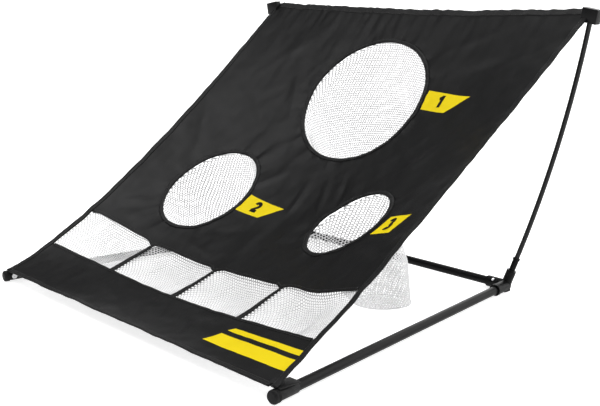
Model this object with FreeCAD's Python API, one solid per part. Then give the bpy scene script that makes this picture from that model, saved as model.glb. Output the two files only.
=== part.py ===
import FreeCAD, Part
import math
import os

V = FreeCAD.Vector
UP = V(0, 0, 1)

# Sizes are in millimetres. While the pieces are made, Y is 0 at the front cap centres and grows
# towards the back, and Z is 0 on the ground. The finished pieces are then centred over their footprint.

# Base frame, seen from above: the side tubes spread apart towards the player
BASE_DEPTH = 727.0
FRONT_SPREAD = 864.0
REAR_SPREAD = 666.0
TUBE_OD = 17.5
TUBE_WALL = 1.2
AXIS_HEIGHT = 11.5
TUBE_FIT = 0.05

# Rear corner fittings
FITTING_OD = 23.0
CORNER_STOP = 12.0
SIDE_SOCKET = 40.0
REAR_SOCKET = 44.0
BOSS_OD = 20.0
BOSS_TOP = 34.0
SOLE_WIDTH = 30.0
SOLE_CORNER = 6.0
COLLAR_OD = 24.4
COLLAR_LENGTH = 7.0

# Spring push buttons that lock the rear tube into the fittings
BUTTON_OD = 6.5
BUTTON_FIT = 0.08
BUTTON_TRAVEL = 3.0
BUTTON_PROUD = 1.6
BUTTON_FROM_CORNER = 26.0
BUTTON_TILT = 45.0
BUTTON_FLANGE = 1.2
LEAF_THICKNESS = 0.6
LEAF_WIDTH = 6.0
LEAF_LENGTH = 26.0

# Uprights: rods that bow under the pull of the net, in tubular sockets
ROD_OD = 10.0
ROD_BOW = 16.0
ROD_BOW_OUTWARD = 0.35
ROD_FOOT = 60.0
TIP_SPREAD = 914.5
TIP_DEPTH = 788.0
TIP_HEIGHT = 569.0
SOCKET_OD = 12.6
SOCKET_FIT = 0.06
SOCKET_TOP = 62.0
SOCKET_SEAT = 14.0
SOCKET_RIM = 1.0
TIP_CAP_OD = 12.0
TIP_CAP_LENGTH = 14.0
TIP_CAP_END = 3.0

# Front ends of the side tubes
CAP_OD = 23.4
CAP_SKIRT = 6.0
CAP_NOSE = 6.0
CAP_RIBS = 3
CAP_RIB_DEPTH = 0.6
CAP_RIB_WIDTH = 1.0
CAP_PLUG = 16.0
CUFF_LENGTH = 44.0
CUFF_WALL = 1.6
SNAP_OD = 11.0
SNAP_HEIGHT = 1.6
SNAP_BORE = 4.0
SNAP_FROM_EDGE = 8.0

# The hung cloth: a sheet that bellies between its edges and steepens towards the top
EDGE_RISE = 539.0
EDGE_CURVE = 1.183
BELLY = 88.0
TOP_DROP = 10.0
EDGE_HOLLOW = 23.0
HOLLOW_SKEW = 0.7
HEM_START = 2.0
CLOTH_PAST_TIP = 14.0
CLOTH = 1.6
SHEET_SPANS = 9
SHEET_SPARE = 20.0
SEAM = 0.3

# Seams and tapes on the cloth
TAPE = 1.1
TAPE_GAP = 2.5
SIDE_TAPE_WIDTH = 14.0
TOP_HEM_WIDTH = 17.0
BAND_END = 118.0
BAND_TAPE_WIDTH = 10.0
PANEL_START = 206.0
PANEL_SCALLOP = 22.0
DIVIDER_WIDTH = 12.0
POCKETS = 4

# Target holes, with the tape round each rim
TOP_HOLE_RADIUS = 158.0
TOP_HOLE_Y = 632.0
LEFT_HOLE_RADIUS = 104.0
RIGHT_HOLE_RADIUS = 78.0
LOWER_HOLE_X = 214.0
LOWER_HOLE_Y = 377.0
RIM_TAPE_WIDTH = 9.0
RIM_TAPE_LIP = 1.5

# Mesh bags
NET_WALL = 1.6
BAG_MARGIN = 3.0
TOP_BAG_DEPTH = 190.0
TOP_BAG_BACK = 40.0
TOP_BAG_FOOT = 0.62
LOWER_BAG_BACK = 98.0
LOWER_BAG_FOOT = 0.66
BAG_CLEAR_OF_GROUND = 3.0
POCKET_BAG_DEPTH = 26.0
POCKET_BAG_INSET = 24.0
POCKET_BAG_OUTER_INSET = 62.0
POCKET_BAG_CORNER = 16.0

# Pockets at the net's top corners, over the rod tips
CORNER_POCKET_WIDTH = 34.0
CORNER_POCKET_HEIGHT = 36.0
CORNER_POCKET_THICK = 17.0
CORNER_POCKET_WALL = 2.0
TIP_TO_ROOF = 1.0

# Corner tabs of webbing that lie over the cuffs at the front
TAB_INWARD = 20.0
TAB_OUTWARD = 6.0
TAB_THICK = 1.8
TAB_FOLD = 18.0

# Worked out from the sizes above
FRONT_HALF = FRONT_SPREAD / 2
REAR_HALF = REAR_SPREAD / 2
TIP_HALF = TIP_SPREAD / 2
TUBE_R = TUBE_OD / 2
CLOTH_END = TIP_DEPTH + CLOTH_PAST_TIP
SLOT = CLOTH + 0.2
CHANNEL = SLOT + 2 * TAPE
HEM_HEIGHT = AXIS_HEIGHT + CAP_OD / 2 + SEAM + CHANNEL / 2
CUFF_OD = TUBE_OD + 2 * (TUBE_FIT + CUFF_WALL)


# Small helpers

def cylinder(start, direction, radius, length):
    return Part.makeCylinder(radius, length, start, direction)


def ring(start, direction, outer, inner, length):
    return cylinder(start, direction, outer, length).cut(cylinder(start, direction, inner, length))


def unit(vector):
    length = vector.Length
    return V(vector.x / length, vector.y / length, vector.z / length)


def mirrored(shape):
    return shape.mirror(V(0, 0, 0), V(1, 0, 0))


def box_at(x0, x1, y0, y1, z0, z1):
    return Part.makeBox(x1 - x0, y1 - y0, z1 - z0, V(x0, y0, z0))


def flat_soled(shape):
    """Cuts off whatever reaches below the ground."""
    far = FRONT_SPREAD
    return shape.cut(box_at(-far, far, -far, far, -far, 0))


def turned(shape, direction, place):
    shape.Placement = FreeCAD.Placement(place, FreeCAD.Rotation(UP, direction))
    return shape


# Directions and points of the frame, on the right-hand side

CORNER = V(REAR_HALF, BASE_DEPTH, AXIS_HEIGHT)
FRONT = V(FRONT_HALF, 0, AXIS_HEIGHT)
TIP = V(TIP_HALF, TIP_DEPTH, TIP_HEIGHT)
TO_FRONT = unit(FRONT - CORNER)
TO_MIDDLE = V(-1, 0, 0)


def upright_axis():
    """The straight foot's direction, such that an arc tangent to it bows by ROD_BOW."""
    chord = TIP - CORNER
    along = unit(chord)
    bow = V(ROD_BOW_OUTWARD, math.sqrt(1 - ROD_BOW_OUTWARD ** 2), 0)
    across = unit(bow - along * bow.dot(along))
    half_turn = 2 * math.atan(2 * ROD_BOW / chord.Length)
    return unit(along * math.cos(half_turn) + across * math.sin(half_turn))


UPRIGHT = upright_axis()


# Base frame

def side_tube():
    start = CORNER + TO_FRONT * CORNER_STOP
    length = (FRONT - start).Length
    return ring(start, TO_FRONT, TUBE_R, TUBE_R - TUBE_WALL, length)


def button_axis():
    tilt = math.radians(BUTTON_TILT)
    return V(0, -math.sin(tilt), math.cos(tilt))


def button_place():
    return V(REAR_HALF - BUTTON_FROM_CORNER, BASE_DEPTH, AXIS_HEIGHT)


def button_hole():
    return cylinder(button_place(), button_axis(), BUTTON_OD / 2 + BUTTON_FIT, FITTING_OD)


def rear_tube():
    reach = REAR_HALF - CORNER_STOP
    start = V(reach, BASE_DEPTH, AXIS_HEIGHT)
    tube = ring(start, TO_MIDDLE, TUBE_R, TUBE_R - TUBE_WALL, 2 * reach)
    return tube.cut(button_hole()).cut(mirrored(button_hole()))


def corner_fitting():
    ball = Part.makeSphere(FITTING_OD / 2, CORNER)
    side = cylinder(CORNER, TO_FRONT, FITTING_OD / 2, SIDE_SOCKET)
    rear = cylinder(CORNER, TO_MIDDLE, FITTING_OD / 2, REAR_SOCKET)
    boss = cylinder(CORNER, UPRIGHT, BOSS_OD / 2, BOSS_TOP)
    half = SOLE_WIDTH / 2
    sole = box_at(CORNER.x - half, CORNER.x + half - SOLE_CORNER, CORNER.y - half,
                  CORNER.y + half - SOLE_CORNER, 0, AXIS_HEIGHT)
    upright_edges = [e for e in sole.Edges if abs(e.tangentAt(e.FirstParameter).z) > 0.9]
    sole = sole.makeFillet(SOLE_CORNER, upright_edges)
    body = ball.multiFuse([side, rear, boss, sole]).removeSplitter()
    bore = TUBE_R + TUBE_FIT
    body = body.cut(cylinder(CORNER + TO_FRONT * CORNER_STOP, TO_FRONT, bore, SIDE_SOCKET))
    body = body.cut(cylinder(CORNER + TO_MIDDLE * CORNER_STOP, TO_MIDDLE, bore, REAR_SOCKET))
    body = body.cut(cylinder(CORNER + UPRIGHT * SOCKET_SEAT, UPRIGHT, SOCKET_OD / 2 + SOCKET_FIT, BOSS_TOP))
    return body.cut(button_hole())


def tube_collar():
    start = CORNER + TO_FRONT * (SIDE_SOCKET + SEAM)
    return flat_soled(ring(start, TO_FRONT, COLLAR_OD / 2, TUBE_R + TUBE_FIT, COLLAR_LENGTH))


def upright_socket():
    start = CORNER + UPRIGHT * SOCKET_SEAT
    length = SOCKET_TOP - SOCKET_SEAT
    tube = cylinder(start, UPRIGHT, SOCKET_OD / 2, length)
    rim = cylinder(start + UPRIGHT * (length - 4 * SOCKET_RIM), UPRIGHT, SOCKET_OD / 2 + SOCKET_RIM, 4 * SOCKET_RIM)
    bore = cylinder(start + UPRIGHT * SOCKET_RIM, UPRIGHT, ROD_OD / 2 + SOCKET_FIT, SOCKET_TOP)
    return tube.fuse(rim).cut(bore).removeSplitter()


# Push button and its leaf spring, inside the end of the rear tube

def push_button():
    place = button_place()
    axis = button_axis()
    stem_start = TUBE_R - TUBE_WALL - BUTTON_TRAVEL - BUTTON_FLANGE
    dome = BUTTON_PROUD / 2
    stem_end = FITTING_OD / 2 + BUTTON_PROUD - dome
    start = place + axis * (stem_start - BUTTON_FLANGE)
    stem = cylinder(start, axis, BUTTON_OD / 2, stem_end - stem_start + BUTTON_FLANGE)
    cap = Part.makeCone(BUTTON_OD / 2, BUTTON_OD / 2 - dome, dome, place + axis * stem_end, axis)
    return stem.fuse(cap).removeSplitter()


def leaf_spring():
    inner = TUBE_R - TUBE_WALL
    under_button = inner - BUTTON_TRAVEL - 2 * BUTTON_FLANGE - SEAM
    low = -inner + 2 * LEAF_THICKNESS + SEAM
    bend = (under_button - low) / 2
    arc_x = LEAF_LENGTH / 2
    outer = bend
    core = bend - LEAF_THICKNESS
    top = box_at(-arc_x / 2, arc_x, -LEAF_WIDTH / 2, LEAF_WIDTH / 2, under_button - LEAF_THICKNESS, under_button)
    foot = box_at(-arc_x, arc_x, -LEAF_WIDTH / 2, LEAF_WIDTH / 2, low, low + LEAF_THICKNESS)
    centre = V(arc_x, -LEAF_WIDTH / 2, (under_button + low) / 2)
    turn = ring(centre, V(0, 1, 0), outer, core, LEAF_WIDTH)
    turn = turn.common(box_at(arc_x, arc_x + 2 * outer, -LEAF_WIDTH, LEAF_WIDTH, low - 1, under_button + 1))
    strip = top.multiFuse([foot, turn]).removeSplitter()
    tilt = FreeCAD.Rotation(V(1, 0, 0), BUTTON_TILT).multiply(FreeCAD.Rotation(UP, 180))
    strip.Placement = FreeCAD.Placement(button_place(), tilt)
    return strip


# Uprights

def rod_arc_start():
    return CORNER + UPRIGHT * ROD_FOOT


def rod_arc():
    """The bowed part, tangent to the straight foot, up to the tip."""
    start = rod_arc_start()
    chord = TIP - start
    along = unit(chord)
    across = unit(UPRIGHT - along * UPRIGHT.dot(along))
    angle = math.acos(min(1.0, UPRIGHT.dot(along)))
    rise = chord.Length / 2 * math.tan(angle / 2)
    middle = start + chord * 0.5 + across * rise
    return Part.Arc(start, middle, TIP)


def tip_axis():
    curve = rod_arc()
    return unit(curve.tangent(curve.LastParameter)[0])


def upright_rod():
    foot = CORNER + UPRIGHT * (SOCKET_SEAT + SOCKET_RIM)
    foot = foot + UPRIGHT * SEAM
    path = Part.Wire([Part.makeLine(foot, rod_arc_start()), rod_arc().toShape()])
    section = Part.Wire(Part.makeCircle(ROD_OD / 2, foot, UPRIGHT))
    return path.makePipeShell([section], True, False)


def rod_tip_cap():
    axis = tip_axis()
    start = TIP - axis * (TIP_CAP_LENGTH - TIP_CAP_END)
    body = cylinder(start, axis, TIP_CAP_OD / 2, TIP_CAP_LENGTH)
    top = [e for e in body.Edges if e.Closed and (e.CenterOfMass - TIP).dot(axis) > TIP_CAP_END / 2]
    body = body.makeFillet(TIP_CAP_END / 2, top)
    return body.cut(rod_around(0.03))


def rod_around(extra):
    """The rod's bowed part with a little more radius, to bore what sits on it."""
    path = Part.Wire([rod_arc().toShape()])
    section = Part.Wire(Part.makeCircle(ROD_OD / 2 + extra, rod_arc_start(), UPRIGHT))
    return path.makePipeShell([section], True, False)


# Front ends

def cap_profile():
    """Half of the plug cap's section, with its axis along Z and the tube's end at zero."""
    r = CAP_OD / 2
    rounding = CAP_NOSE * 0.8
    edge = r - rounding
    slant = rounding * math.sin(math.pi / 4)
    crown = Part.Arc(V(edge, 0, CAP_NOSE), V(edge + slant, 0, CAP_NOSE - rounding + slant), V(r, 0, CAP_NOSE - rounding))
    bore = TUBE_R + TUBE_FIT
    plug = TUBE_R - TUBE_WALL - TUBE_FIT
    outline = [V(r, 0, CAP_NOSE - rounding), V(r, 0, -CAP_SKIRT), V(bore, 0, -CAP_SKIRT), V(bore, 0, 0),
               V(plug, 0, 0), V(plug, 0, -CAP_PLUG), V(0, 0, -CAP_PLUG), V(0, 0, CAP_NOSE), V(edge, 0, CAP_NOSE)]
    edges = [Part.makeLine(a, b) for a, b in zip(outline[:-1], outline[1:])]
    return Part.Face(Part.Wire([crown.toShape()] + edges))


def front_cap():
    """A ribbed plug cap, turned about the tube's axis, with its sole cut flat."""
    cap = cap_profile().revolve(V(0, 0, 0), UP, 360)
    r = CAP_OD / 2
    pitch = CAP_SKIRT / CAP_RIBS
    for i in range(CAP_RIBS):
        start = V(0, 0, (i + 0.5) * pitch - CAP_SKIRT)
        cap = cap.cut(ring(start, UP, r + 1, r - CAP_RIB_DEPTH, CAP_RIB_WIDTH))
    return flat_soled(turned(cap, TO_FRONT, FRONT + TO_FRONT * SEAM))


def cuff_start():
    return FRONT - TO_FRONT * (CAP_SKIRT + SEAM)


def front_cuff():
    return ring(cuff_start(), TO_FRONT * -1, CUFF_OD / 2, TUBE_R + TUBE_FIT, CUFF_LENGTH)


def cuff_snap():
    """The snap that closes the cuff's strap, on its inner side."""
    inward = unit(V(TO_FRONT.y, -TO_FRONT.x, 0))
    centre = cuff_start() - TO_FRONT * SNAP_FROM_EDGE
    snap = ring(centre, inward, SNAP_OD / 2, SNAP_BORE / 2, CUFF_OD / 2 + SNAP_HEIGHT)
    foot = cylinder(centre, inward, SNAP_BORE / 2, CUFF_OD / 2 + SNAP_HEIGHT / 2)
    around = cylinder(cuff_start() + TO_FRONT * SNAP_OD, TO_FRONT * -1, CUFF_OD / 2, CUFF_LENGTH)
    return snap.fuse(foot).cut(around)


# The shape of the hung cloth

def along(y):
    return min(max(y / TIP_DEPTH, 0.0), 1.0)


def edge_height(y):
    return HEM_HEIGHT + EDGE_RISE * (max(y, 0.0) / TIP_DEPTH) ** EDGE_CURVE


def belly(y):
    return TOP_DROP * along(y) + BELLY * math.sin(math.pi * along(y))


def cloth_half(y):
    widest = FRONT_HALF + (TIP_HALF - FRONT_HALF) * y / TIP_DEPTH
    return widest - SEAM - EDGE_HOLLOW * math.sin(math.pi * along(y) ** HOLLOW_SKEW)


def cloth_height(x, y):
    """The middle of the cloth: a circular arc from edge to edge at each depth."""
    drop = belly(y)
    half = cloth_half(y)
    if drop < 0.01:
        return edge_height(y)
    radius = (half * half + drop * drop) / (2 * drop)
    return edge_height(y) - drop + radius - math.sqrt(radius * radius - x * x)


def cloth_normal(x, y):
    step = 5.0
    slope_x = (cloth_height(x + step, y) - cloth_height(x - step, y)) / (2 * step)
    slope_y = (cloth_height(x, y + step) - cloth_height(x, y - step)) / (2 * step)
    return unit(V(-slope_x, -slope_y, 1))


def section(y, low, high, inset):
    half = cloth_half(y) - inset
    left_low = V(-half, y, cloth_height(-half, y) + low)
    right_low = V(half, y, cloth_height(half, y) + low)
    middle_low = V(0, y, cloth_height(0, y) + low)
    rise = V(0, 0, high - low)
    if belly(y) < 0.01:
        under = Part.makeLine(left_low, right_low)
        over = Part.makeLine(right_low + rise, left_low + rise)
    else:
        under = Part.Arc(left_low, middle_low, right_low).toShape()
        over = Part.Arc(right_low + rise, middle_low + rise, left_low + rise).toShape()
    right = Part.makeLine(right_low, right_low + rise)
    left = Part.makeLine(left_low + rise, left_low)
    return Part.Wire([under, right, over, left])


def stations():
    """The depths of the sections, the same for all that follows the cloth."""
    first = HEM_START - SHEET_SPARE
    last = CLOTH_END + SHEET_SPARE
    return [first + (last - first) * i / SHEET_SPANS for i in range(SHEET_SPANS + 1)]


def sheet(low, high, inset=0.0):
    """A slab that follows the cloth, from low to high above its middle surface."""
    return Part.makeLoft([section(y, low, high, inset) for y in stations()], True, False)


def tall_prism(face):
    return face.extrude(V(0, 0, 2 * TIP_HEIGHT))


def footprint(points):
    return tall_prism(Part.Face(Part.makePolygon([V(x, y, -TIP_HEIGHT / 2) for x, y in points + points[:1]])))


def scalloped_front():
    """Everything behind the panel's curved front edge, seen from above."""
    far = FRONT_SPREAD
    z = -TIP_HEIGHT / 2
    left = V(-FRONT_HALF, PANEL_START, z)
    right = V(FRONT_HALF, PANEL_START, z)
    edge = Part.Arc(left, V(0, PANEL_START + PANEL_SCALLOP, z), right).toShape()
    back = 2 * TIP_DEPTH
    side = [right, V(far, PANEL_START, z), V(far, back, z), V(-far, back, z), V(-far, PANEL_START, z), left]
    edges = [edge] + [Part.makeLine(a, b) for a, b in zip(side[:-1], side[1:])]
    return tall_prism(Part.Face(Part.Wire(edges)))


def strip_between(y0, y1):
    far = FRONT_SPREAD
    return footprint([(-far, y0), (far, y0), (far, y1), (-far, y1)])


# Target holes

HOLES = {
    "top": (0.0, TOP_HOLE_Y, TOP_HOLE_RADIUS),
    "left": (-LOWER_HOLE_X, LOWER_HOLE_Y, LEFT_HOLE_RADIUS),
    "right": (LOWER_HOLE_X, LOWER_HOLE_Y, RIGHT_HOLE_RADIUS),
}


def hole_cutter(name, extra):
    x, y, radius = HOLES[name]
    normal = cloth_normal(x, y)
    centre = V(x, y, cloth_height(x, y))
    depth = radius
    return cylinder(centre - normal * depth, normal, radius + extra, 2 * depth)


def corner_pocket_block(extra):
    """The outside of the right corner pocket, which stands along the rod's tip."""
    axis = tip_axis()
    across = unit(V(0, 1, 0) - axis * axis.y)
    side = across.cross(axis)
    wide = CORNER_POCKET_WIDTH / 2 + extra
    thick = CORNER_POCKET_THICK / 2 + extra
    roof = TIP + axis * (TIP_CAP_END + TIP_TO_ROOF + CORNER_POCKET_WALL + extra)
    corners = []
    for a, b in ((-1, -1), (1, -1), (1, 1), (-1, 1)):
        corners.append(roof + side * (a * wide) + across * (b * thick))
    face = Part.Face(Part.makePolygon(corners + corners[:1]))
    return face.extrude(axis * -(CORNER_POCKET_HEIGHT + 2 * extra))


def corner_pocket():
    axis = tip_axis()
    inner = corner_pocket_block(-CORNER_POCKET_WALL)
    below = inner.copy()
    below.translate(axis * -(2 * CORNER_POCKET_WALL))
    return corner_pocket_block(0).cut(inner).cut(below)


def clear_of_pockets(shape):
    block = corner_pocket_block(SEAM)
    return shape.cut(block).cut(mirrored(block))


def target_panel(cloth):
    panel = cloth.common(scalloped_front())
    for name in HOLES:
        panel = panel.cut(hole_cutter(name, 0))
    return clear_of_pockets(panel)


def rim_tape(name):
    """A tape folded over the hole's edge: a channel of cloth with a lip inside the hole."""
    band = sheet(-CHANNEL / 2, CHANNEL / 2).common(hole_cutter(name, RIM_TAPE_WIDTH))
    slot = sheet(-SLOT / 2, SLOT / 2).cut(hole_cutter(name, -0.1))
    return band.cut(hole_cutter(name, -RIM_TAPE_LIP)).cut(slot)


def tape_section(y):
    half = cloth_half(y)
    z = cloth_height(half, y)
    slope = (cloth_height(half, y) - cloth_height(half - SIDE_TAPE_WIDTH, y)) / SIDE_TAPE_WIDTH
    leg = CHANNEL / 2
    slot = SLOT / 2
    inner = half - SIDE_TAPE_WIDTH
    web = half + SEAM
    out = half + SEAM + TAPE
    outline = [(inner, leg), (out, leg), (out, -leg), (inner, -leg), (inner, -slot), (web, -slot), (web, slot),
               (inner, slot)]
    points = [V(x, y, z + (x - half) * slope + dz) for x, dz in outline]
    return Part.makePolygon(points + points[:1])


def side_tape():
    """The right edge's folded tape: a channel whose web lies outside the cloth."""
    tape = Part.makeLoft([tape_section(y) for y in stations()], True, False)
    tape = clear_of_pockets(tape.common(strip_between(HEM_START, CLOTH_END)))
    return max(tape.Solids, key=lambda solid: solid.Volume)


def edge_tape(y0, y1):
    """A folded tape over the front or the top edge, between the side tapes."""
    half = min(cloth_half(y0), cloth_half(y1)) - SIDE_TAPE_WIDTH - TAPE_GAP
    thick = sheet(-CHANNEL / 2, CHANNEL / 2).common(footprint([(-half, y0), (half, y0), (half, y1), (-half, y1)]))
    slot = sheet(-SLOT / 2, SLOT / 2).common(strip_between(HEM_START - SEAM, CLOTH_END + SEAM))
    return thick.cut(slot)


def top_hem():
    return clear_of_pockets(edge_tape(CLOTH_END - TOP_HEM_WIDTH, CLOTH_END + SEAM + TAPE))


def band_tape():
    return edge_tape(HEM_START - SEAM - TAPE, HEM_START + BAND_TAPE_WIDTH)


def bottom_band(cloth):
    return cloth.common(strip_between(0, BAND_END))


def pocket_half_width():
    return cloth_half((BAND_END + PANEL_START) / 2) - SIDE_TAPE_WIDTH


def divider_x(i):
    return pocket_half_width() * (2 * i / POCKETS - 1)


def pocket_divider(cloth, i):
    x = divider_x(i)
    half = DIVIDER_WIDTH / 2
    y0 = BAND_END + SEAM
    y1 = PANEL_START + PANEL_SCALLOP + TOP_HEM_WIDTH
    strap = cloth.common(footprint([(x - half, y0), (x + half, y0), (x + half, y1), (x - half, y1)]))
    behind_panel = scalloped_front()
    behind_panel.translate(V(0, -SEAM, 0))
    return strap.cut(behind_panel)


# Mesh bags

def circle_wire(centre, normal, radius):
    return Part.Wire(Part.makeCircle(radius, centre, normal))


def hole_bag_solid(name, shrink):
    """A tapering sock from above the cloth down to its closed foot."""
    x, y, radius = HOLES[name]
    normal = cloth_normal(x, y)
    centre = V(x, y, cloth_height(x, y))
    mouth = radius + BAG_MARGIN - shrink
    if name == "top":
        foot_z = centre.z - TOP_BAG_DEPTH
        back = TOP_BAG_BACK
        share = TOP_BAG_FOOT
    else:
        foot_z = BAG_CLEAR_OF_GROUND
        back = LOWER_BAG_BACK
        share = LOWER_BAG_FOOT
    foot = V(x, y + back, foot_z + shrink)
    middle = centre * 0.45 + foot * 0.55
    tilt = unit(normal + UP * 2)
    belly_r = (mouth + shrink) * 0.9 - shrink
    foot_r = (mouth + shrink) * share - shrink
    wires = [circle_wire(centre + normal * (radius / 2), normal, mouth),
             circle_wire(centre - normal * (radius * 0.12), normal, mouth),
             circle_wire(middle, tilt, belly_r),
             circle_wire(foot, UP, foot_r)]
    return Part.makeLoft(wires, True, True)


def room_above(underside):
    """All the room over a surface that lies the given distance under the cloth's middle."""
    return sheet(-underside - SEAM, TIP_HEIGHT, -SIDE_TAPE_WIDTH)


def hole_bag(name, above):
    shell = hole_bag_solid(name, 0).cut(hole_bag_solid(name, NET_WALL))
    return shell.cut(above)


def rounded_rectangle(x0, x1, y0, y1, z):
    r = POCKET_BAG_CORNER
    k = r * (1 - math.sin(math.pi / 4))
    lines = [(V(x0 + r, y0, z), V(x1 - r, y0, z)), (V(x1, y0 + r, z), V(x1, y1 - r, z)),
             (V(x1 - r, y1, z), V(x0 + r, y1, z)), (V(x0, y1 - r, z), V(x0, y0 + r, z))]
    turns = [V(x1 - k, y0 + k, z), V(x1 - k, y1 - k, z), V(x0 + k, y1 - k, z), V(x0 + k, y0 + k, z)]
    edges = []
    for i in range(4):
        edges.append(Part.makeLine(*lines[i]))
        edges.append(Part.Arc(lines[i][1], turns[i], lines[(i + 1) % 4][0]).toShape())
    return Part.Wire(edges)


def pocket_bag_solid(i, shrink):
    """A shallow trough of netting under one of the low windows of the right-hand half."""
    outermost = i == POCKETS - 1
    y0 = BAND_END - BAG_MARGIN
    y1 = PANEL_START + PANEL_SCALLOP + BAG_MARGIN
    x0 = divider_x(i) + DIVIDER_WIDTH / 2 - BAG_MARGIN
    x1 = divider_x(i + 1) - DIVIDER_WIDTH / 2 + BAG_MARGIN
    outer_inset = POCKET_BAG_INSET
    if outermost:
        x1 = pocket_half_width() + BAG_MARGIN
        outer_inset = POCKET_BAG_OUTER_INSET
    cx = (x0 + x1) / 2
    cy = (y0 + y1) / 2
    half_x = (x1 - x0) / 2 - shrink
    half_y = (y1 - y0) / 2 - shrink
    inset = POCKET_BAG_INSET
    rim = 3 * CHANNEL
    wires = [rounded_rectangle(-half_x, half_x, -half_y, half_y, BAND_END),
             rounded_rectangle(-half_x, half_x, -half_y, half_y, -rim),
             rounded_rectangle(-half_x + inset, half_x - outer_inset, -half_y + inset, half_y - inset,
                               shrink - POCKET_BAG_DEPTH)]
    trough = Part.makeLoft(wires, True, True)
    return turned(trough, cloth_normal(cx, cy), V(cx, cy, cloth_height(cx, cy)))


def pocket_bag(i, above):
    shell = pocket_bag_solid(i, 0).cut(pocket_bag_solid(i, NET_WALL))
    return shell.cut(above)


# Corner tabs

def corner_tab(above):
    """Folded webbing under the band's corner, and its end laid over the cuff."""
    y0 = CAP_SKIRT + 2 * SEAM
    y1 = CAP_SKIRT + CUFF_LENGTH
    x0 = FRONT_HALF - TAB_INWARD
    z = AXIS_HEIGHT + CUFF_OD / 2 + SEAM
    end = box_at(x0, FRONT_HALF + TAB_OUTWARD, y0, y1, z, z + TAB_THICK)
    fold = box_at(x0, cloth_half(y0), y0, y0 + TAB_FOLD, z, z + TIP_HEIGHT)
    return end.fuse(fold).cut(above).removeSplitter()


# Build every node

def both(name, shape, nodes):
    nodes[name + "_right"] = shape
    nodes[name + "_left"] = mirrored(shape)


def build():
    nodes = {}
    both("side_tube", side_tube(), nodes)
    nodes["rear_tube"] = rear_tube()
    both("corner_fitting", corner_fitting(), nodes)
    both("tube_collar", tube_collar(), nodes)
    both("upright_socket", upright_socket(), nodes)
    both("push_button", push_button(), nodes)
    both("button_spring", leaf_spring(), nodes)
    both("upright_rod", upright_rod(), nodes)
    both("rod_tip_cap", rod_tip_cap(), nodes)
    both("front_cap", front_cap(), nodes)
    both("front_cuff", front_cuff(), nodes)
    both("cuff_snap", cuff_snap(), nodes)
    cloth = sheet(-CLOTH / 2, CLOTH / 2).common(strip_between(HEM_START, CLOTH_END))
    above_cloth = room_above(CLOTH / 2)
    above_tapes = room_above(CHANNEL / 2)
    nodes["target_panel"] = target_panel(cloth)
    nodes["bottom_band"] = bottom_band(cloth)
    nodes["band_tape"] = band_tape()
    nodes["top_hem"] = top_hem()
    for i in range(1, POCKETS):
        nodes["pocket_divider_%d" % i] = pocket_divider(cloth, i)
    both("side_tape", side_tape(), nodes)
    for name in HOLES:
        nodes["rim_tape_" + name] = rim_tape(name)
        nodes["target_bag_" + name] = hole_bag(name, above_tapes)
    for i in range(POCKETS // 2, POCKETS):
        outermost = i == POCKETS - 1
        bag = pocket_bag(i, above_tapes if outermost else above_cloth)
        nodes["pocket_bag_%d" % (i + 1)] = bag
        nodes["pocket_bag_%d" % (POCKETS - i)] = mirrored(bag)
    both("corner_pocket", corner_pocket(), nodes)
    both("corner_tab", corner_tab(above_tapes), nodes)
    return nodes


def centre_line_y(nodes):
    """Half way between the foremost and the rearmost point of the whole object."""
    foremost = nodes["front_cap_right"].optimalBoundingBox(False).YMin
    rearmost = nodes["top_hem"].optimalBoundingBox(False).YMax
    return (foremost + rearmost) / 2


def main():
    os.makedirs("parts", exist_ok=True)
    nodes = build()
    middle = centre_line_y(nodes)
    print("front cap centres are %.3f mm in front of the origin" % middle)
    for name, shape in nodes.items():
        shape.translate(V(0, -middle, 0))
        print("%-22s solids %d valid %s volume %.0f" % (name, len(shape.Solids), shape.isValid(), shape.Volume))
        shape.exportStep("parts/%s.step" % name)


main()
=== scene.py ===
# %% [markdown]
# A golf chipping net stands on a lawn: a dark cloth with three round targets hangs between two bowed rods,
# over a low frame of tubes, and white nets behind the targets catch the balls.
# This lesson dresses the measured frame of that net: its rigid pieces get their finishes, and its soft
# pieces are modelled, each in the place that the frame gives it.

# %% Load the frame
from math import atan2, copysign, cos, exp, hypot, pi, radians, sin, sqrt
import bmesh
import bpy
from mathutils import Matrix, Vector, noise


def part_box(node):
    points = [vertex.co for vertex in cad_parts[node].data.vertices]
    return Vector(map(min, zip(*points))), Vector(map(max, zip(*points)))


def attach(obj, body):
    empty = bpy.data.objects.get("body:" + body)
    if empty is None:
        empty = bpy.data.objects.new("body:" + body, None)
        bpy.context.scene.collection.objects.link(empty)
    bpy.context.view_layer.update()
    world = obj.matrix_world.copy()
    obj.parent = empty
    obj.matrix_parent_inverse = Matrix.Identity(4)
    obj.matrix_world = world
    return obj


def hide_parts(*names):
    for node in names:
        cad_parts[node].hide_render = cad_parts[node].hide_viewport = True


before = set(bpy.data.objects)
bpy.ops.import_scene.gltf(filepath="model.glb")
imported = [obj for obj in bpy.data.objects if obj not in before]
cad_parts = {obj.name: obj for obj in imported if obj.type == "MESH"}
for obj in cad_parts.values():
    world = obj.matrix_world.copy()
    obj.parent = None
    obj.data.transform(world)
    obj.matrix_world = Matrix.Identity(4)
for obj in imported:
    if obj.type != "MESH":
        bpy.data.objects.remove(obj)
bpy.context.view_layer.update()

MM = 0.001

# %% [markdown]
# The camera stands at the right of the player, a little over the net's top, and looks slightly down.
# Its place and lens were worked out from the corners of the base and the ends of the rods, so that the
# render can be laid over the photograph. All lengths along Y are counted from the front end caps, and the
# rear tube tells where those lie in the frame.

# %% Camera
BASE_DEPTH = 727.0
rear_low, rear_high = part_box("rear_tube")
FRONT_LINE = (rear_low.y + rear_high.y) / 2 - BASE_DEPTH * MM


def metres(x, y, z):
    """A point in millimetres, with Y counted from the front caps, as a point of the frame."""
    return Vector((x * MM, y * MM + FRONT_LINE, z * MM))


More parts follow.
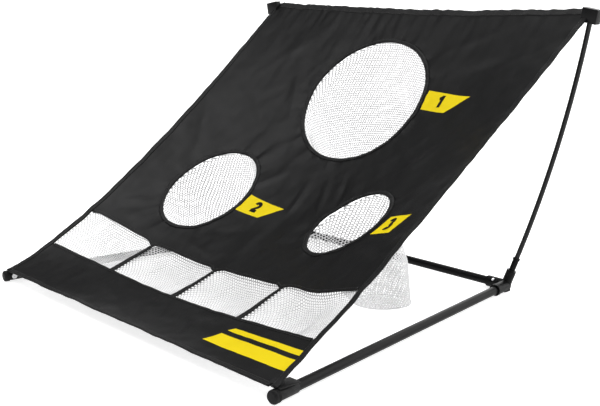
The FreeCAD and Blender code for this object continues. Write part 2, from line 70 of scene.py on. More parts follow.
def aimed(thing, place, direction):
    """Stands a camera or lamp at its place, turned into a direction."""
    thing.location = place
    thing.rotation_mode = "QUATERNION"
    thing.rotation_quaternion = direction.to_track_quat("-Z", "Y")
    bpy.context.scene.collection.objects.link(thing)


EYE = (1474.55, -916.07, 617.97)
TURN = radians(47.078)
STOOP = radians(12.475)
FOCAL_LENGTH = 59.08
SENSOR_WIDTH = 36.0
eye = metres(*EYE)
looking = Vector((-sin(TURN) * cos(STOOP), cos(TURN) * cos(STOOP), -sin(STOOP)))
camera_data = bpy.data.cameras.new("camera")
camera_data.lens = FOCAL_LENGTH
camera_data.sensor_width = SENSOR_WIDTH
camera = bpy.data.objects.new("camera", camera_data)
aimed(camera, eye, looking)
bpy.context.scene.camera = camera
print("the camera stands", round(eye.length, 3), "metres from the middle of the base")

# %% [markdown]
# The photograph was taken on plain white. A wide pale floor that glows a little, like a light table, lights
# the nets from below and leaves hardly a shadow. The studio over it is dark, but for a bright ceiling right
# overhead and a bright wall behind the net. The cloth's left half reflects the ceiling and a soft lamp, so
# the sheen lies there, and its right half reflects the dark side and stays deep. One weak lamp behind
# lights the net on the right, and one in front lifts the pockets. The strengths were solved so that cloth,
# nets and floor come out as light as in the photograph.

# %% Floor and light
FLOOR_SPAN, FLOOR_DROP = 400.0, 0.0008
FLOOR_TONE, FLOOR_GLOW = 0.8, 0.76


def set_inputs(node, values):
    for socket, value in values.items():
        node.inputs[socket].default_value = value


def shown(name, shape, finish):
    """Turns a finished bmesh into an object of the scene."""
    data = bpy.data.meshes.new(name)
    shape.to_mesh(data)
    shape.free()
    data.materials.append(finish)
    thing = bpy.data.objects.new(name, data)
    bpy.context.scene.collection.objects.link(thing)
    return thing


floor_paint = bpy.data.materials.new("pale_floor")
floor_paint.use_nodes = True
set_inputs(floor_paint.node_tree.nodes["Principled BSDF"],
           {"Base Color": (FLOOR_TONE, FLOOR_TONE, FLOOR_TONE, 1), "Roughness": 0.95,
            "Emission Color": (1, 1, 1, 1), "Emission Strength": FLOOR_GLOW})
floor_shape = bmesh.new()
bmesh.ops.create_grid(floor_shape, x_segments=1, y_segments=1, size=FLOOR_SPAN / 2)
floor = shown("floor", floor_shape, floor_paint)
floor.location.z = -FLOOR_DROP

sky = bpy.data.worlds.new("studio")
sky.use_nodes = True
sky_nodes, sky_links = sky.node_tree.nodes, sky.node_tree.links
direction = sky_nodes.new("ShaderNodeTexCoord")
parts = sky_nodes.new("ShaderNodeSeparateXYZ")
sky_links.new(direction.outputs["Generated"], parts.inputs["Vector"])


def brighter_towards(axis, start, end, low, high):
    """A strength that goes from low to high while the direction's part along an axis grows."""
    span = sky_nodes.new("ShaderNodeMapRange")
    set_inputs(span, {"From Min": start, "From Max": end, "To Min": low, "To Max": high})
    sky_links.new(parts.outputs[axis], span.inputs["Value"])
    return span.outputs["Result"]


brightness = sky_nodes.new("ShaderNodeMath")
sky_links.new(brighter_towards("Z", 0.7, 1.0, 0.16, 2.1), brightness.inputs[0])
sky_links.new(brighter_towards("Y", 0.4, 0.75, 0.0, 2.6), brightness.inputs[1])
sky_links.new(brightness.outputs["Value"], sky_nodes["Background"].inputs["Strength"])
set_inputs(sky_nodes["Background"], {"Color": (1, 1, 1, 1)})
bpy.context.scene.world = sky
bpy.context.scene.view_settings.view_transform = "Standard"


def soft_lamp(name, place, target, span, power):
    """A square lamp of the given span in metres and power in watts, turned to its target."""
    data = bpy.data.lights.new(name, "AREA")
    data.size = span
    data.energy = power
    aimed(bpy.data.objects.new(name, data), place, Vector(target) - Vector(place))


soft_lamp("lamp_left", (-1.7, -0.92, 2.49), (-0.3, 0.2, 0.33), 1.0, 16)
soft_lamp("lamp_behind", (1.9, 1.3, 1.3), (0, 0.1, 0.2), 1.2, 7)
soft_lamp("lamp_front", (1.9, -2.3, 1.7), (0, 0, 0.2), 2.0, 6)
print("floor, sky and three lamps are set")

# %% [markdown]
# Most soft pieces here begin as a flat grid, because cloth is woven flat. Each point of the grid has two
# numbers from 0 to 1, and a small function says where that point lies on the real net. That is simpler than
# building faces one by one, and it gives clean rows. The same numbers, in real lengths, are kept as the
# piece's own map, so that threads follow the cloth.

# %% Helpers that bend a grid into a piece
def bent_grid(across, along, place, width=1.0, length=1.0):
    """A grid whose points are moved to place(a, b), for a and b from 0 to 1, with a map in real lengths."""
    grid = bmesh.new()
    bmesh.ops.create_grid(grid, x_segments=across, y_segments=along, size=0.5)
    threads = grid.loops.layers.uv.new("threads")
    for face in grid.faces:
        for corner in face.loops:
            corner[threads].uv = ((corner.vert.co.x + 0.5) * width, (corner.vert.co.y + 0.5) * length)
    for point in grid.verts:
        point.co = place(point.co.x + 0.5, point.co.y + 0.5)
    return grid


def closed_up(grid):
    """Sews the edges that meet, fills open ends, and turns every face outwards."""
    bmesh.ops.remove_doubles(grid, verts=grid.verts, dist=0.02 * MM)
    open_edges = [edge for edge in grid.edges if edge.is_boundary]
    if open_edges:
        bmesh.ops.holes_fill(grid, edges=open_edges, sides=0)
    bmesh.ops.recalc_face_normals(grid, faces=grid.faces)


def made_piece(name, shape, body, finish, smooth=True):
    """Turns a finished bmesh into a piece that rides on a body of the frame."""
    piece = shown(name, shape, finish)
    faces = piece.data.polygons
    faces.foreach_set("use_smooth", [smooth] * len(faces))
    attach(piece, body)
    print(name, "has", len(faces), "faces")
    return piece


# %% [markdown]
# Every finish is mixed from nodes. It starts with plain numbers on its shader and a slow change of colour,
# and three helpers add a weave of threads, a fine grain, or a gloss that wanders.
# Blender's bands repeat every 0.314 units at a scale of 1, so that number divided by a pitch gives the
# scale for threads at that pitch.

# %% Helpers that mix a finish
WAVE_PERIOD = 0.314


def shader_of(finish):
    return finish.node_tree.nodes["Principled BSDF"]


def new_node(finish, kind, **values):
    """Adds a node, and sets each value on the socket of that name or else on the node itself."""
    node = finish.node_tree.nodes.new(kind)
    for key, value in values.items():
        if key in node.inputs:
            node.inputs[key].default_value = value
        else:
            setattr(node, key, value)
    return node


def wired(finish, source, target):
    finish.node_tree.links.new(source, target)


def coordinates(finish, of="Object"):
    """The finish's one node of coordinates, added at the first call and found again after that."""
    where = finish.node_tree.nodes.get("where")
    if where is None:
        where = new_node(finish, "ShaderNodeTexCoord")
        where.name = "where"
    return where.outputs[of]


def clouds(finish, size, detail=4.0, **values):
    """Irregular clouds between 0 and 1, of about a size in metres."""
    cloudy = new_node(finish, "ShaderNodeTexNoise", Scale=1 / size, Detail=detail, **values)
    wired(finish, coordinates(finish), cloudy.inputs["Vector"])
    return cloudy.outputs["Fac"]


def new_finish(name, roughness, dark, light, size, detail=3.0, specular=0.5, metallic=0.0, sheen=0.0):
    """A finish with its plain numbers set on its shader, and a slow, cloudy change between two colours."""
    finish = bpy.data.materials.new(name)
    finish.use_nodes = True
    set_inputs(shader_of(finish), {"Roughness": roughness, "Specular IOR Level": specular,
                                   "Metallic": metallic, "Sheen Weight": sheen, "Sheen Roughness": 0.4})
    tones = new_node(finish, "ShaderNodeValToRGB")
    for stop, position, colour in zip(tones.color_ramp.elements, (0.3, 0.7), (dark, light)):
        stop.position = position
        stop.color = (*colour, 1)
    wired(finish, clouds(finish, size, detail, Roughness=0.6), tones.inputs["Fac"])
    wired(finish, tones.outputs["Color"], shader_of(finish).inputs["Base Color"])
    return finish


def raised(finish, height, depth):
    """Adds a height to the surface's bump, on top of what is there already."""
    shader = shader_of(finish)
    bump = new_node(finish, "ShaderNodeBump", Strength=1.0, Distance=depth)
    wired(finish, height, bump.inputs["Height"])
    if shader.inputs["Normal"].is_linked:
        wired(finish, shader.inputs["Normal"].links[0].from_socket, bump.inputs["Normal"])
    wired(finish, bump.outputs["Normal"], shader.inputs["Normal"])


def grain(finish, size, depth):
    """A fine, irregular roughness that can be felt."""
    raised(finish, clouds(finish, size), depth)


def woven(finish, pitch, depth):
    """Threads over and under each other, along the piece's own map."""
    both = new_node(finish, "ShaderNodeMath", operation="MULTIPLY")
    for bands, factor in zip("XY", both.inputs):
        wave = new_node(finish, "ShaderNodeTexWave", bands_direction=bands, Scale=WAVE_PERIOD / pitch)
        wired(finish, coordinates(finish, "UV"), wave.inputs["Vector"])
        wired(finish, wave.outputs["Fac"], factor)
    raised(finish, both.outputs["Value"], depth)


def patchy_gloss(finish, low, high, size):
    """Roughness that wanders between two values."""
    span = new_node(finish, "ShaderNodeMapRange", **{"To Min": low, "To Max": high})
    wired(finish, clouds(finish, size), span.inputs["Value"])
    wired(finish, span.outputs["Result"], shader_of(finish).inputs["Roughness"])


# %% [markdown]
# The frame's tubes are powder coated: a hard, satin black skin with a faint orange-peel surface. The corner
# fittings are moulded in a duller black with a fine grain. The rods are drawn from glass fibre, so their
# sheen runs lengthwise. Steel parts are bright.

# %% Finishes of the rigid pieces
powder_coat = new_finish("powder_coat", 0.36, (0.003, 0.003, 0.0032), (0.006, 0.006, 0.0063), 0.05,
                         specular=0.08)
grain(powder_coat, 0.0012, 0.00006)
patchy_gloss(powder_coat, 0.28, 0.46, 0.03)

moulded = new_finish("moulded_plastic", 0.45, (0.003, 0.003, 0.0032), (0.007, 0.007, 0.0073), 0.02,
                     specular=0.10)
grain(moulded, 0.0006, 0.00005)
patchy_gloss(moulded, 0.38, 0.55, 0.012)

dull_rubber = new_finish("dull_rubber", 0.7, (0.005, 0.005, 0.0055), (0.011, 0.011, 0.0115), 0.01,
                         specular=0.2)
grain(dull_rubber, 0.0008, 0.00008)

drawn_fibre = new_finish("drawn_fibre", 0.35, (0.003, 0.003, 0.0033), (0.007, 0.007, 0.0075), 0.03,
                         specular=0.25)
streaks = new_node(drawn_fibre, "ShaderNodeTexNoise", Scale=900.0, Detail=2.0)
lengthwise = new_node(drawn_fibre, "ShaderNodeMapping", Scale=(1.0, 1.0, 0.02))
wired(drawn_fibre, coordinates(drawn_fibre), lengthwise.inputs["Vector"])
wired(drawn_fibre, lengthwise.outputs["Vector"], streaks.inputs["Vector"])
raised(drawn_fibre, streaks.outputs["Fac"], 0.00004)
patchy_gloss(drawn_fibre, 0.25, 0.42, 0.05)

bright_steel = new_finish("bright_steel", 0.25, (0.50, 0.50, 0.51), (0.68, 0.68, 0.69), 0.004, metallic=1.0)
grain(bright_steel, 0.0004, 0.00002)
patchy_gloss(bright_steel, 0.18, 0.36, 0.003)

RIGID_FINISHES = [
    (powder_coat, ("side_tube", "rear_tube", "upright_socket")),
    (moulded, ("corner_fitting", "tube_collar", "rod_tip_cap")),
    (bright_steel, ("push_button", "button_spring", "cuff_snap")),
    (drawn_fibre, ("upright_rod",)),
    (dull_rubber, ("front_cap",)),
]
finished = 0
for name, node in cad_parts.items():
    for finish, starts in RIGID_FINISHES:
        if name.startswith(starts):
            node.data.materials.clear()
            node.data.materials.append(finish)
            finished += 1
print("finished", finished, "rigid pieces")

# %% [markdown]
# The cloth is a light coated polyester. It is dark grey rather than black, it has a fine weave, and its
# coating shines softly where a fold turns to the light. Its tapes have a coarser weave. The nets are
# knitted from white yarn, and the marks are printed in yellow on the same cloth.

# %% Finishes of the soft pieces
dark_cloth = new_finish("dark_cloth", 0.38, (0.0028, 0.0028, 0.0030), (0.0050, 0.0050, 0.0053), 0.16,
                        detail=5.0, specular=0.15, sheen=0.005)
woven(dark_cloth, 0.0009, 0.00004)
patchy_gloss(dark_cloth, 0.32, 0.46, 0.05)

tape_finish = new_finish("ribbed_tape", 0.42, (0.0025, 0.0025, 0.0028), (0.0055, 0.0055, 0.0058), 0.03,
                         specular=0.18, sheen=0.015)
woven(tape_finish, 0.0016, 0.00018)

webbing_finish = new_finish("webbing", 0.6, (0.004, 0.004, 0.0043), (0.008, 0.008, 0.0083), 0.01,
                            specular=0.2, sheen=0.03)
woven(webbing_finish, 0.0022, 0.0003)

white_yarn = new_finish("white_yarn", 0.6, (0.70, 0.70, 0.705), (0.78, 0.78, 0.785), 0.05,
                        specular=0.4, sheen=0.25)
grain(white_yarn, 0.0005, 0.0001)

yellow_print = new_finish("yellow_print", 0.5, (0.90, 0.69, 0.002), (0.96, 0.75, 0.004), 0.06, specular=0.12)
woven(yellow_print, 0.0009, 0.00004)

black_print = new_finish("black_print", 0.55, (0.003, 0.003, 0.003), (0.006, 0.006, 0.006), 0.01,
                         specular=0.1)
woven(black_print, 0.0009, 0.00004)

thread_finish = new_finish("sewing_thread", 0.5, (0.012, 0.012, 0.012), (0.03, 0.03, 0.03), 0.004,
                           specular=0.5, sheen=0.3)
grain(thread_finish, 0.0003, 0.0001)
print("mixed", len(bpy.data.materials), "finishes")

# %% [markdown]
# The edges of the cloth climb steeper and steeper towards the rods, and between them it bellies down in an
# arc, most of all half way up. One function gives the height of that surface at any point, and every seam,
# tape, tag and net uses it, so that all of them stay together. On the real net the cloth has also slipped
# a few millimetres to the right between its corners.

# %% The surface of the hung cloth, in millimetres
FRONT_HALF = 432.0
CLOTH_TOP_HALF = 450.0
TIP_DEPTH = 791.0
HEM_HEIGHT = 25.5
EDGE_RISE = 539.0
EDGE_CURVE = 1.183
BELLY = 88.0
TOP_DROP = 10.0
EDGE_INSET = 0.3
EDGE_HOLLOW = 22.0
HOLLOW_SKEW = 0.7
HEM_START = 2.0
CLOTH_END = 802.0
SLIP = 5.0
SLIP_SKEW = 0.5


def up_the_cloth(y):
    """How far a depth lies up the cloth, from 0 at the front to 1 at the rods' tips."""
    return min(max(y / TIP_DEPTH, 0.0), 1.0)


def slip(y):
    """How far the cloth has slipped to the right at a depth."""
    return SLIP * sin(pi * up_the_cloth(y) ** SLIP_SKEW)


def cloth_half(y):
    """Half of the cloth's width at a depth. The edges are pulled in a little by their own tension."""
    straight = FRONT_HALF + (CLOTH_TOP_HALF - FRONT_HALF) * y / TIP_DEPTH
    return straight - EDGE_INSET - EDGE_HOLLOW * sin(pi * up_the_cloth(y) ** HOLLOW_SKEW)


def calm_height(x, y):
    """The height of the calm cloth: an arc across it, hung between its edges."""
    edge = HEM_HEIGHT + EDGE_RISE * (max(y, 0.0) / TIP_DEPTH) ** EDGE_CURVE
    drop = max(TOP_DROP * up_the_cloth(y) + BELLY * sin(pi * up_the_cloth(y)), 0.01)
    half = cloth_half(y)
    radius = (half * half + drop * drop) / (2 * drop)
    return edge - drop + radius - sqrt(radius * radius - x * x)


def cloth_normal(x, y, step=4.0):
    slope_x = (calm_height(x + step, y) - calm_height(x - step, y)) / (2 * step)
    slope_y = (calm_height(x, y + step) - calm_height(x, y - step)) / (2 * step)
    return Vector((-slope_x, -slope_y, 1)).normalized()


print("the middle of the cloth lies", round(calm_height(0, 400)), "mm over the ground half way up")

# %% [markdown]
# Each target is an oval rather than a circle, because the cloth's pull draws its tape out of round. It is
# kept as an axis in space with a long and a short radius and a turn. A point of the oval is moved along
# that axis until it meets the curved cloth, as a punch would mark it.

# %% The three targets
STEPS_TO_CLOTH = 4
TARGETS = {
    "top": {"x": 14.0, "y": 629.5, "radius": 159.0, "stretch": 9.4, "turn": radians(-49)},
    "left": {"x": -208.5, "y": 378.5, "radius": 107.0, "stretch": 10.3, "turn": radians(82)},
    "right": {"x": 217.0, "y": 374.5, "radius": 82.0, "stretch": 9.1, "turn": radians(48)},
}
for target in TARGETS.values():
    x, y = target["x"], target["y"]
    normal = cloth_normal(x, y)
    right = (Vector((1, 0, 0)) - normal * normal.x).normalized()
    target["centre"] = Vector((x, y, calm_height(x, y)))
    target["normal"], target["right"], target["up"] = normal, right, normal.cross(right)
    target["long"] = target["radius"] + target["stretch"]
    target["short"] = target["radius"] - target["stretch"]


def oval(target, angle, extra, share=1.0):
    """The two plane coordinates of a point on a target's oval, grown by the extra."""
    u = (target["long"] * share + extra) * cos(angle)
    v = (target["short"] * share + extra) * sin(angle)
    c, s = cos(target["turn"]), sin(target["turn"])
    return u * c - v * s, u * s + v * c


def on_rim(target, angle, extra):
    """Where the oval, grown by the extra, meets the cloth: its x and y in millimetres."""
    u, v = oval(target, angle, extra)
    point = target["centre"] + target["right"] * u + target["up"] * v
    for _ in range(STEPS_TO_CLOTH):
        point -= target["normal"] * ((point.z - calm_height(point.x, point.y)) * target["normal"].z)
    return point.x, point.y


def oval_shares(target, u, v):
    """A point of the oval's plane, in shares of the long and of the short radius."""
    c, s = cos(target["turn"]), sin(target["turn"])
    return (u * c + v * s) / target["long"], (v * c - u * s) / target["short"]


def off_rim(target, x, y):
    """How far a point of the cloth lies outside the oval, and its angle round it."""
    offset = Vector((x, y, calm_height(x, y))) - target["centre"]
    along, across = oval_shares(target, offset.dot(target["right"]), offset.dot(target["up"]))
    return (hypot(along, across) - 1) * target["radius"], atan2(across, along)


print("the top target's rim starts at", [round(v) for v in on_rim(TARGETS["top"], 0.0, 0.0)])

# %% [markdown]
# The round tapes gather the cloth into short puckers, the hem draws it into small pleats, and slow waves run
# between the corners. A few longer folds are given one by one, each by its start, its end, its width and its
# height. All of this moves the surface itself, because folds show in the outline as well as in the shading.
# The noise has fixed seeds, so the cloth is the same each time.

# %% Puckers, pleats and slow waves
SOFT_FOLDS = [
    ((62, 475), (112, 392), 15, 2.6), ((112, 478), (150, 405), 13, -2.4),
    ((20, 462), (34, 380), 17, 2.0), ((-150, 560), (-250, 700), 26, 2.2),
    ((-180, 520), (-330, 600), 24, -1.8), ((150, 720), (330, 780), 22, 2.2),
    ((190, 660), (400, 720), 26, -2.0), ((180, 560), (300, 470), 22, 1.8),
    ((-60, 470), (-120, 420), 18, 1.7), ((-300, 300), (-380, 250), 22, 1.8),
    ((290, 310), (380, 260), 22, 1.8), ((0, 340), (20, 250), 24, 1.5),
    ((-330, 430), (-400, 520), 20, -1.7), ((-40, 250), (-150, 262), 16, 1.4),
    ((250, 470), (330, 560), 22, 1.7), ((150, 440), (128, 330), 20, 1.6),
    ((-110, 300), (-20, 330), 20, -1.3), ((-240, 740), (-330, 640), 30, 1.6),
]
FOLD_PAST_END = 0.3
FOLD_FADE = 0.45


def fold(x, y, start, end, width, height):
    """A soft ridge along a line, fading at both ends."""
    dx, dy = end[0] - start[0], end[1] - start[1]
    length2 = dx * dx + dy * dy
    t = ((x - start[0]) * dx + (y - start[1]) * dy) / length2
    if t < -FOLD_PAST_END or t > 1 + FOLD_PAST_END:
        return 0.0
    away = ((x - start[0]) * dy - (y - start[1]) * dx) ** 2 / length2
    fade = exp(-((t - 0.5) / FOLD_FADE) ** 2)
    return height * fade * exp(-away / (width * width / 4))


def wavy(x, y, size, seed):
    """Smooth noise between -1 and 1, whose waves are about as long as the size."""
    return noise.noise(Vector((x / size, y / size, seed)))


def ring_noise(angle, rate, seed):
    """Smooth noise round a ring, with more waves for a higher rate."""
    return noise.noise(Vector((rate * cos(angle), rate * sin(angle), seed)))


SLOW_WAVES = [(1.8, 150, 3.1), (2.0, 60, 7.7), (0.9, 24, 1.3)]
PUCKER_SPACE, PUCKER_WIDTH, PUCKER_START = 120, 15, 8
SHORT_PUCKER, SHORT_REACH = 2.6, 22
LONG_PUCKER, LONG_REACH, LONG_SHARE = 3.2, 50, 0.45
HEM_PLEATS, SIDE_PLEATS = (2.0, 15, 34, 5.5), (1.5, 22, 28, 8.5)


def pucker(target, seed, away, angle):
    """Short and long puckers, fading with the distance from a target's rim."""
    rate = target["radius"] / PUCKER_WIDTH
    short = ring_noise(angle, rate, seed * 9)
    long = ring_noise(angle, rate * LONG_SHARE, seed * 9 + 4)
    rise = min(away / PUCKER_START, 1.0)
    return rise * (SHORT_PUCKER * short * exp(-away / SHORT_REACH)
                   + LONG_PUCKER * long * exp(-away / LONG_REACH))


def pleat(height, width, reach, seed, along, away):
    """Pleats along an edge, fading with the distance from it."""
    return height * noise.noise(Vector((along / width, 0, seed))) * exp(-away / reach)


def wrinkle(x, y):
    """How far the cloth stands off its calm surface, in millimetres."""
    offset = sum(height * wavy(x, y, size, seed) for height, size, seed in SLOW_WAVES)
    for seed, target in enumerate(TARGETS.values()):
        away, angle = off_rim(target, x, y)
        if 0 < away < PUCKER_SPACE:
            offset += pucker(target, seed, away, angle)
    offset += pleat(*HEM_PLEATS, x, max(CLOTH_END - y, 0))
    offset += pleat(*SIDE_PLEATS, y, max(cloth_half(y) - abs(x), 0))
    for start, end, width, height in SOFT_FOLDS:
        offset += fold(x, y, start, end, width, height)
    return offset


def on_cloth(x, y, lift=0.0):
    """A point of the wrinkled cloth, lifted along its normal, in metres of the frame."""
    off = cloth_normal(x, y) * (lift + wrinkle(x, y))
    return metres(x + slip(y) + off.x, y + off.y, calm_height(x, y) + off.z)


samples = [wrinkle(x, y) for x in range(-400, 401, 50) for y in range(220, 800, 40)]
print("the cloth stands off by", round(min(samples), 1), "to", round(max(samples), 1), "mm")

# %% [markdown]
# The target panel is one sheet. Its side edges lie inside folded tapes, its front edge is cut in a shallow
# curve over the pockets, and three ovals are cut out of it. Each cut is a little wide and uneven, because
# the tape that is sewn over it hides the raw edge. The three straps between the pockets draw the front edge
# forward, and so do the last pocket and the left corner.

# %% The target panel
EDGE_GAP = 1.0
RAW_EDGE = 2.0
PANEL_START = 202.0
PANEL_SCALLOP = 26.0
PANEL_MAP = (0.88, 0.78)
CLOTH_THICK = 0.9
POCKET_HALF = 404.4
STRAPS = [POCKET_HALF * (i / 2 - 1) for i in (1, 2, 3)]
# Each pull has its height, its middle and its width.
PULLS = [(8, strap, 13) for strap in STRAPS] + [(9, 300, 55), (8, -410, 18)]


def panel_front(x):
    """The depth at which the panel is cut: a shallow curve less its pulls."""
    pulls = sum(height * exp(-((x - middle) / width) ** 2) for height, middle, width in PULLS)
    return PANEL_START + PANEL_SCALLOP * (1 - (x / FRONT_HALF) ** 2) - pulls


def panel_plan(a, b):
    """The plan of the panel, from its front edge at b = 0 to the hem at b = 1."""
    y = PANEL_START + (CLOTH_END - PANEL_START) * b
    x = (2 * a - 1) * (cloth_half(y) - EDGE_GAP)
    return x, y + (panel_front(x) - PANEL_START) * (1 - b)


def in_a_target(x, y):
    return any(off_rim(target, x, y)[0] < RAW_EDGE for target in TARGETS.values())


panel = bent_grid(200, 160, lambda a, b: Vector((*panel_plan(a, b), 0)), *PANEL_MAP)
inside = [face for face in panel.faces if any(in_a_target(point.co.x, point.co.y) for point in face.verts)]
bmesh.ops.delete(panel, geom=inside, context="FACES")
for point in panel.verts:
    point.co = on_cloth(point.co.x, point.co.y)
panel_area = sum(face.calc_area() for face in panel.faces)
target_panel = made_piece("target_panel_cloth", panel, "net", dark_cloth)


def thicken(piece, thickness):
    wall = piece.modifiers.new("thickness", "SOLIDIFY")
    wall.thickness = thickness * MM
    wall.offset = 0.0


thicken(target_panel, CLOTH_THICK)
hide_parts("target_panel")
print("the panel's cloth measures", round(panel_area, 3), "square metres")

# %% [markdown]
# The bottom band is a strip of the same cloth in front of the pockets, drawn tight between the front
# corners. Its rear edge is cut in the same kind of curve as the panel's front edge.

# %% The bottom band
BAND_END = 99.0
BAND_SCALLOP = 23.0
BAND_MAP = (0.86, 0.12)


def band_end(x):
    """The depth at which the band is cut."""
    return BAND_END + BAND_SCALLOP * (1 - (x / FRONT_HALF) ** 2)


def band_plan(a, b):
    """The plan of the band, from its front edge at b = 0 to its rear edge at b = 1."""
    y = HEM_START + (BAND_END - HEM_START) * b
    x = (2 * a - 1) * (cloth_half(y) - EDGE_GAP)
    return x, y + (band_end(x) - BAND_END) * b


band = bent_grid(180, 28, lambda a, b: on_cloth(*band_plan(a, b)), *BAND_MAP)
band_area = sum(face.calc_area() for face in band.faces)
bottom_band = made_piece("bottom_band_cloth", band, "net", dark_cloth)
thicken(bottom_band, CLOTH_THICK)
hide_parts("bottom_band")

# %% [markdown]
# The edge tapes are folded lengthwise over the raw edge and sewn through. Seen end on, such a tape is a
# flat loop with a round fold. That loop is carried along the edge: the grid's first number runs along the
# edge and its second one round the loop, whose seam is then sewn up.

# %% Folded tapes
TAPE_THICK = 3.2
SIDE_TAPE, TOP_HEM, FRONT_TAPE = 12.5, 16.0, 10.0
ROLL, ROLL_THICK = 7.0, 2.2
LOOP_STEPS = 18


def loop_point(t, width, thick):
    """A point on a flat loop with round ends, as its distance from the fold and its height."""
    radius, straight = thick / 2, width - thick
    half = straight + pi * radius
    lower, s = divmod((t % 1.0) * 2 * half, half)
    inwards, height = radius + s, radius
    if s > straight:
        angle = pi / 2 - (s - straight) / radius
        inwards, height = width - radius + radius * cos(angle), radius * sin(angle)
    return (width - inwards, -height) if lower else (inwards, height)


def folded_tape(name, steps, spot, width, thick=TAPE_THICK, finish=tape_finish, replaces=None):
    """A tape whose fold runs along an edge: spot(t, d) is the plan at t along it and d inwards."""
    def place(a, b):
        inwards, height = loop_point(b, width, thick)
        return on_cloth(*spot(a, inwards - thick / 2), height)

    tape = bent_grid(steps, LOOP_STEPS, place, length=2 * width * MM)
    closed_up(tape)
    piece = made_piece(name, tape, "net", finish)
    if replaces:
        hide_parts(replaces)
    return piece


def side_spot(side):
    """The plan of a side edge, for t from the front to the corner pocket."""
    def spot(t, inwards):
        y = HEM_START + (CLOTH_END - SIDE_INSET - HEM_START) * t
        return side * (cloth_half(y) + SIDE_LAP - inwards), y

    return spot


def cross_spot(edge, depth, inset, lap):
    """The plan of an edge across the cloth. A rear edge has a lap over zero, a front edge one under zero."""
    def spot(t, inwards):
        x = (2 * t - 1) * (cloth_half(depth) - inset)
        return x, edge(x) + lap - inwards * copysign(1, lap)

    return spot


SIDES = {"right": 1, "left": -1}
SIDE_INSET, SIDE_LAP = 10, 1.2
hem_spot = cross_spot(lambda x: CLOTH_END, CLOTH_END, inset=15, lap=1.0)
front_spot = cross_spot(lambda x: HEM_START, HEM_START, inset=13, lap=-1.0)
panel_edge_spot = cross_spot(panel_front, PANEL_START, inset=14, lap=-0.8)
band_edge_spot = cross_spot(band_end, BAND_END, inset=14, lap=0.8)
for word, side in SIDES.items():
    folded_tape("side_tape_" + word + "_cloth", 240, side_spot(side), SIDE_TAPE, replaces="side_tape_" + word)
folded_tape("top_hem_cloth", 280, hem_spot, TOP_HEM, replaces="top_hem")
front_tape = folded_tape("front_hem_cloth", 240, front_spot, FRONT_TAPE, replaces="band_tape")
folded_tape("panel_front_roll", 240, panel_edge_spot, ROLL, thick=ROLL_THICK, finish=dark_cloth)
folded_tape("band_rear_roll", 240, band_edge_spot, ROLL, thick=ROLL_THICK, finish=dark_cloth)

# %% [markdown]
# Three doubled straps part the four pockets. Each is a narrow tape, broad where it is caught under the
# band and pulled thin where it meets the panel. It is the same loop again, but here the grid's first number
# runs round it and the second one along the strap.

# %% Straps between the pockets
STRAP_WIDE, STRAP_NARROW = 15, 7
STRAP_UNDER_BAND, STRAP_UNDER_PANEL = 6, 8
STRAP_START, STRAP_LEAN = -4, 7.0
STRAP_SINK = 0.4
STRAP_MAP = (0.03, 0.11)


def strap_place(x, a, b):
    y0, y1 = band_end(x) - STRAP_UNDER_BAND, panel_front(x) + STRAP_UNDER_PANEL
    width = STRAP_WIDE + (STRAP_NARROW - STRAP_WIDE) * b
    inwards, height = loop_point(a, width, ROLL_THICK)
    middle = x + STRAP_START + STRAP_LEAN * b
    return on_cloth(middle + inwards - width / 2, y0 + (y1 - y0) * b, height - STRAP_SINK)


for i, x in enumerate(STRAPS, 1):
    strap = bent_grid(16, 30, lambda a, b: strap_place(x, a, b), *STRAP_MAP)
    closed_up(strap)
    strap_piece = made_piece("pocket_strap_%d" % i, strap, "net", tape_finish)
    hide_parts("pocket_divider_%d" % i)

# %% [markdown]
# The same loop, carried round a target's oval, makes its bound rim. Bound rims are a little swollen and
# never quite even, because the tape is gathered on its inner side.

# %% Bound rims of the targets
RIM_WIDTH = 9.5
RIM_LIP = 1.5
RIM_THICK = 4.4
SWELLING, SWELLING_LENGTH = 0.35, 9


def bound_rim(name, target):
    rate = target["radius"] / SWELLING_LENGTH

    def place(a, b):
        angle = 2 * pi * a
        inwards, height = loop_point(b, RIM_WIDTH, RIM_THICK)
        swell = 1 + SWELLING * ring_noise(angle, rate, 2 * rate)
        x, y = on_rim(target, angle, inwards - RIM_LIP)
        return on_cloth(x, y, height * swell)

    rim = bent_grid(int(target["radius"] * 2.2), 16, place,
                    2 * pi * target["radius"] * MM, 2 * RIM_WIDTH * MM)
    closed_up(rim)
    piece = made_piece("rim_" + name + "_cloth", rim, "net", tape_finish)
    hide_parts("rim_tape_" + name)
    return piece


rims = [bound_rim(name, target) for name, target in TARGETS.items()]

# %% [markdown]
# All tapes are sewn down. Each stitch is a small bead of thread, and a row of them follows the tape. A bead
# has only twenty faces, because there are more than a thousand of them.

# %% Rows of stitches
STITCH_STEP, STITCH_RISE, RIM_STITCH_INSET = 4.6, 0.1, 2.2
STITCH_SIZE = Vector((1.5, 0.34, 0.34)) * MM
# Each row has a name, an edge, a distance from the fold, a length and the thickness of its tape.
EDGE_ROWS = [
    ("side_right", side_spot(1), 8.8, 950, TAPE_THICK),
    ("side_left", side_spot(-1), 8.8, 950, TAPE_THICK),
    ("hem", hem_spot, 12.0, 860, TAPE_THICK),
    ("hem_fold", hem_spot, 1.8, 860, TAPE_THICK),
    ("front", front_spot, 6.5, 830, TAPE_THICK),
    ("panel_edge", panel_edge_spot, 4.4, 800, ROLL_THICK),
    ("band_edge", band_edge_spot, 4.4, 800, ROLL_THICK),
]


